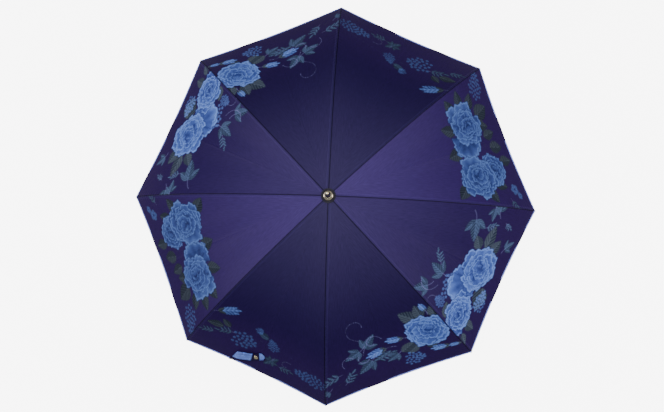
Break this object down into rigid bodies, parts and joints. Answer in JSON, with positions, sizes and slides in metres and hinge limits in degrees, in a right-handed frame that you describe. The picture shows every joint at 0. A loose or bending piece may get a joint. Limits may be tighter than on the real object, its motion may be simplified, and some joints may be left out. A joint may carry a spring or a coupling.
{
  "type": "stick umbrella",
  "caption": "Open ladies' stick umbrella: domed fabric canopy with a blue floral border on folding ribs, metal shaft, ferrule, crook handle and closing strap.",
  "frame": {"origin": "on the shaft's axis, at the middle of the handle's straight grip", "axes": "+Z along the shaft towards the ferrule; +X along rib 1, on the side that the crook turns to"},
  "size_m": [1.0514, 1.0514, 0.8268],
  "materials": {
    "canopy_fabric": "printed satin-weave polyester, navy to purple with a blue peony border",
    "strap_fabric": "printed polyester band, light blue",
    "nickel": "nickel-plated brass and steel, polished",
    "black_steel": "black lacquered steel channel",
    "glass_fibre": "pultruded glass fibre rod, black",
    "black_plastic": "moulded black nylon",
    "dark_wood": "steam-bent wood, clear lacquer"
  },
  "bodies": {
    "shaft": {"shaft": "nickel", "handle": "dark_wood", "handle_collar": "nickel", "notch": "black_plastic", "notch_wire": "nickel", "top_cap": "nickel", "ferrule": "nickel"},
    "runner": {"runner": "black_plastic", "runner_wire": "nickel"},
    "top_catch": {"top_spring": "nickel"},
    "bottom_catch": {"bottom_spring": "nickel"},
    "strap": {"strap": "strap_fabric"},
    "rib_1": {"rib_1": "black_steel", "canopy_upper_1": "canopy_fabric"},
    "outer_rib_1": {"outer_rib_1": "glass_fibre", "rib_tip_1": "black_plastic", "canopy_lower_1": "canopy_fabric"},
    "stretcher_1": {"stretcher_1": "black_steel"},
    "rib_2": {"rib_2": "black_steel", "canopy_upper_2": "canopy_fabric"},
    "outer_rib_2": {"outer_rib_2": "glass_fibre", "rib_tip_2": "black_plastic", "canopy_lower_2": "canopy_fabric"},
    "stretcher_2": {"stretcher_2": "black_steel"},
    "rib_3": {"rib_3": "black_steel", "canopy_upper_3": "canopy_fabric"},
    "outer_rib_3": {"outer_rib_3": "glass_fibre", "rib_tip_3": "black_plastic", "canopy_lower_3": "canopy_fabric"},
    "stretcher_3": {"stretcher_3": "black_steel"},
    "rib_4": {"rib_4": "black_steel", "canopy_upper_4": "canopy_fabric"},
    "outer_rib_4": {"outer_rib_4": "glass_fibre", "rib_tip_4": "black_plastic", "canopy_lower_4": "canopy_fabric"},
    "stretcher_4": {"stretcher_4": "black_steel"},
    "rib_5": {"rib_5": "black_steel", "canopy_upper_5": "canopy_fabric"},
    "outer_rib_5": {"outer_rib_5": "glass_fibre", "rib_tip_5": "black_plastic", "canopy_lower_5": "canopy_fabric"},
    "stretcher_5": {"stretcher_5": "black_steel"},
    "rib_6": {"rib_6": "black_steel", "canopy_upper_6": "canopy_fabric"},
    "outer_rib_6": {"outer_rib_6": "glass_fibre", "rib_tip_6": "black_plastic", "canopy_lower_6": "canopy_fabric"},
    "stretcher_6": {"stretcher_6": "black_steel"},
    "rib_7": {"rib_7": "black_steel", "canopy_upper_7": "canopy_fabric"},
    "outer_rib_7": {"outer_rib_7": "glass_fibre", "rib_tip_7": "black_plastic", "canopy_lower_7": "canopy_fabric"},
    "stretcher_7": {"stretcher_7": "black_steel"},
    "rib_8": {"rib_8": "black_steel", "canopy_upper_8": "canopy_fabric"},
    "outer_rib_8": {"outer_rib_8": "glass_fibre", "rib_tip_8": "black_plastic", "canopy_lower_8": "canopy_fabric"},
    "stretcher_8": {"stretcher_8": "black_steel"}
  },
  "joints": [
    {"name": "canopy_fold", "type": "hinge", "parent": "shaft", "child": "rib_1", "pos_m": [0.0095, 0, 0.66001], "axis": [0, 1, 0], "range_deg": [0, 74], "deforming": ["canopy_upper_1", "canopy_upper_2", "canopy_upper_3", "canopy_upper_4", "canopy_upper_5", "canopy_upper_6", "canopy_upper_7", "canopy_upper_8", "canopy_lower_1", "canopy_lower_2", "canopy_lower_3", "canopy_lower_4", "canopy_lower_5", "canopy_lower_6", "canopy_lower_7", "canopy_lower_8", "top_spring", "bottom_spring"]},
    {"name": "rib_fold_2", "type": "hinge", "parent": "shaft", "child": "rib_2", "pos_m": [0.00672, 0.00672, 0.66001], "axis": [-0.7071, 0.7071, 0], "range_deg": [-1, 75]},
    {"name": "rib_fold_3", "type": "hinge", "parent": "shaft", "child": "rib_3", "pos_m": [0, 0.0095, 0.66001], "axis": [-1, 0, 0], "range_deg": [-1, 75]},
    {"name": "rib_fold_4", "type": "hinge", "parent": "shaft", "child": "rib_4", "pos_m": [-0.00672, 0.00672, 0.66001], "axis": [-0.7071, -0.7071, 0], "range_deg": [-1, 75]},
    {"name": "rib_fold_5", "type": "hinge", "parent": "shaft", "child": "rib_5", "pos_m": [-0.0095, 0, 0.66001], "axis": [0, -1, 0], "range_deg": [-1, 75]},
    {"name": "rib_fold_6", "type": "hinge", "parent": "shaft", "child": "rib_6", "pos_m": [-0.00672, -0.00672, 0.66001], "axis": [0.7071, -0.7071, 0], "range_deg": [-1, 75]},
    {"name": "rib_fold_7", "type": "hinge", "parent": "shaft", "child": "rib_7", "pos_m": [0, -0.0095, 0.66001], "axis": [1, 0, 0], "range_deg": [-1, 75]},
    {"name": "rib_fold_8", "type": "hinge", "parent": "shaft", "child": "rib_8", "pos_m": [0.00672, -0.00672, 0.66001], "axis": [0.7071, 0.7071, 0], "range_deg": [-1, 75]},
    {"name": "rib_flex_1", "type": "hinge", "parent": "rib_1", "child": "outer_rib_1", "pos_m": [0.30212, 0, 0.59623], "axis": [0, 1, 0], "range_deg": [-21, 1]},
    {"name": "rib_flex_2", "type": "hinge", "parent": "rib_2", "child": "outer_rib_2", "pos_m": [0.21363, 0.21363, 0.59623], "axis": [-0.7071, 0.7071, 0], "range_deg": [-21, 1]},
    {"name": "rib_flex_3", "type": "hinge", "parent": "rib_3", "child": "outer_rib_3", "pos_m": [0, 0.30212, 0.59623], "axis": [-1, 0, 0], "range_deg": [-21, 1]},
    {"name": "rib_flex_4", "type": "hinge", "parent": "rib_4", "child": "outer_rib_4", "pos_m": [-0.21363, 0.21363, 0.59623], "axis": [-0.7071, -0.7071, 0], "range_deg": [-21, 1]},
    {"name": "rib_flex_5", "type": "hinge", "parent": "rib_5", "child": "outer_rib_5", "pos_m": [-0.30212, 0, 0.59623], "axis": [0, -1, 0], "range_deg": [-21, 1]},
    {"name": "rib_flex_6", "type": "hinge", "parent": "rib_6", "child": "outer_rib_6", "pos_m": [-0.21363, -0.21363, 0.59623], "axis": [0.7071, -0.7071, 0], "range_deg": [-21, 1]},
    {"name": "rib_flex_7", "type": "hinge", "parent": "rib_7", "child": "outer_rib_7", "pos_m": [0, -0.30212, 0.59623], "axis": [1, 0, 0], "range_deg": [-21, 1]},
    {"name": "rib_flex_8", "type": "hinge", "parent": "rib_8", "child": "outer_rib_8", "pos_m": [0.21363, -0.21363, 0.59623], "axis": [0.7071, 0.7071, 0], "range_deg": [-21, 1]},
    {"name": "stretcher_fold_1", "type": "hinge", "parent": "rib_1", "child": "stretcher_1", "pos_m": [0.27264, 0, 0.59811], "axis": [0, 1, 0], "range_deg": [-150, 2]},
    {"name": "stretcher_fold_2", "type": "hinge", "parent": "rib_2", "child": "stretcher_2", "pos_m": [0.19278, 0.19278, 0.59811], "axis": [-0.7071, 0.7071, 0], "range_deg": [-150, 2]},
    {"name": "stretcher_fold_3", "type": "hinge", "parent": "rib_3", "child": "stretcher_3", "pos_m": [0, 0.27264, 0.59811], "axis": [-1, 0, 0], "range_deg": [-150, 2]},
    {"name": "stretcher_fold_4", "type": "hinge", "parent": "rib_4", "child": "stretcher_4", "pos_m": [-0.19278, 0.19278, 0.59811], "axis": [-0.7071, -0.7071, 0], "range_deg": [-150, 2]},
    {"name": "stretcher_fold_5", "type": "hinge", "parent": "rib_5", "child": "stretcher_5", "pos_m": [-0.27264, 0, 0.59811], "axis": [0, -1, 0], "range_deg": [-150, 2]},
    {"name": "stretcher_fold_6", "type": "hinge", "parent": "rib_6", "child": "stretcher_6", "pos_m": [-0.19278, -0.19278, 0.59811], "axis": [0.7071, -0.7071, 0], "range_deg": [-150, 2]},
    {"name": "stretcher_fold_7", "type": "hinge", "parent": "rib_7", "child": "stretcher_7", "pos_m": [0, -0.27264, 0.59811], "axis": [1, 0, 0], "range_deg": [-150, 2]},
    {"name": "stretcher_fold_8", "type": "hinge", "parent": "rib_8", "child": "stretcher_8", "pos_m": [0.19278, -0.19278, 0.59811], "axis": [0.7071, 0.7071, 0], "range_deg": [-150, 2]},
    {"name": "runner_travel", "type": "hinge", "parent": "stretcher_1", "child": "runner", "pos_m": [0.0095, 0, 0.53622], "axis": [0, 1, 0], "range_deg": [-1, 75]},
    {"name": "top_catch_press", "type": "hinge", "parent": "shaft", "child": "top_catch", "pos_m": [0.0022, 0, 0.45322], "axis": [0, -1, 0], "range_deg": [0, 7], "stiffness_Nm_per_rad": 0.6, "springref_deg": -5.73},
    {"name": "bottom_catch_press", "type": "hinge", "parent": "shaft", "child": "bottom_catch", "pos_m": [0.0022, 0, 0.05725], "axis": [0, -1, 0], "range_deg": [0, 7], "stiffness_Nm_per_rad": 0.6, "springref_deg": -5.73},
    {"name": "strap_lift", "type": "hinge", "parent": "outer_rib_6", "child": "strap", "pos_m": [-0.24273, -0.40428, 0.44591], "axis": [0.4045, -0.7162, -0.5687], "range_deg": [0, 150]}
  ],
  "couplings": [
    {"joint": "rib_fold_2", "follows": "canopy_fold", "ratio": 1},
    {"joint": "rib_fold_3", "follows": "canopy_fold", "ratio": 1},
    {"joint": "rib_fold_4", "follows": "canopy_fold", "ratio": 1},
    {"joint": "rib_fold_5", "follows": "canopy_fold", "ratio": 1},
    {"joint": "rib_fold_6", "follows": "canopy_fold", "ratio": 1},
    {"joint": "rib_fold_7", "follows": "canopy_fold", "ratio": 1},
    {"joint": "rib_fold_8", "follows": "canopy_fold", "ratio": 1},
    {"joint": "rib_flex_1", "follows": "canopy_fold", "ratio": -0.2703},
    {"joint": "rib_flex_2", "follows": "canopy_fold", "ratio": -0.2703},
    {"joint": "rib_flex_3", "follows": "canopy_fold", "ratio": -0.2703},
    {"joint": "rib_flex_4", "follows": "canopy_fold", "ratio": -0.2703},
    {"joint": "rib_flex_5", "follows": "canopy_fold", "ratio": -0.2703},
    {"joint": "rib_flex_6", "follows": "canopy_fold", "ratio": -0.2703},
    {"joint": "rib_flex_7", "follows": "canopy_fold", "ratio": -0.2703},
    {"joint": "rib_flex_8", "follows": "canopy_fold", "ratio": -0.2703},
    {"joint": "stretcher_fold_1", "follows": "canopy_fold", "ratio": -2},
    {"joint": "stretcher_fold_2", "follows": "canopy_fold", "ratio": -2},
    {"joint": "stretcher_fold_3", "follows": "canopy_fold", "ratio": -2},
    {"joint": "stretcher_fold_4", "follows": "canopy_fold", "ratio": -2},
    {"joint": "stretcher_fold_5", "follows": "canopy_fold", "ratio": -2},
    {"joint": "stretcher_fold_6", "follows": "canopy_fold", "ratio": -2},
    {"joint": "stretcher_fold_7", "follows": "canopy_fold", "ratio": -2},
    {"joint": "stretcher_fold_8", "follows": "canopy_fold", "ratio": -2},
    {"joint": "runner_travel", "follows": "canopy_fold", "ratio": 1}
  ]
}
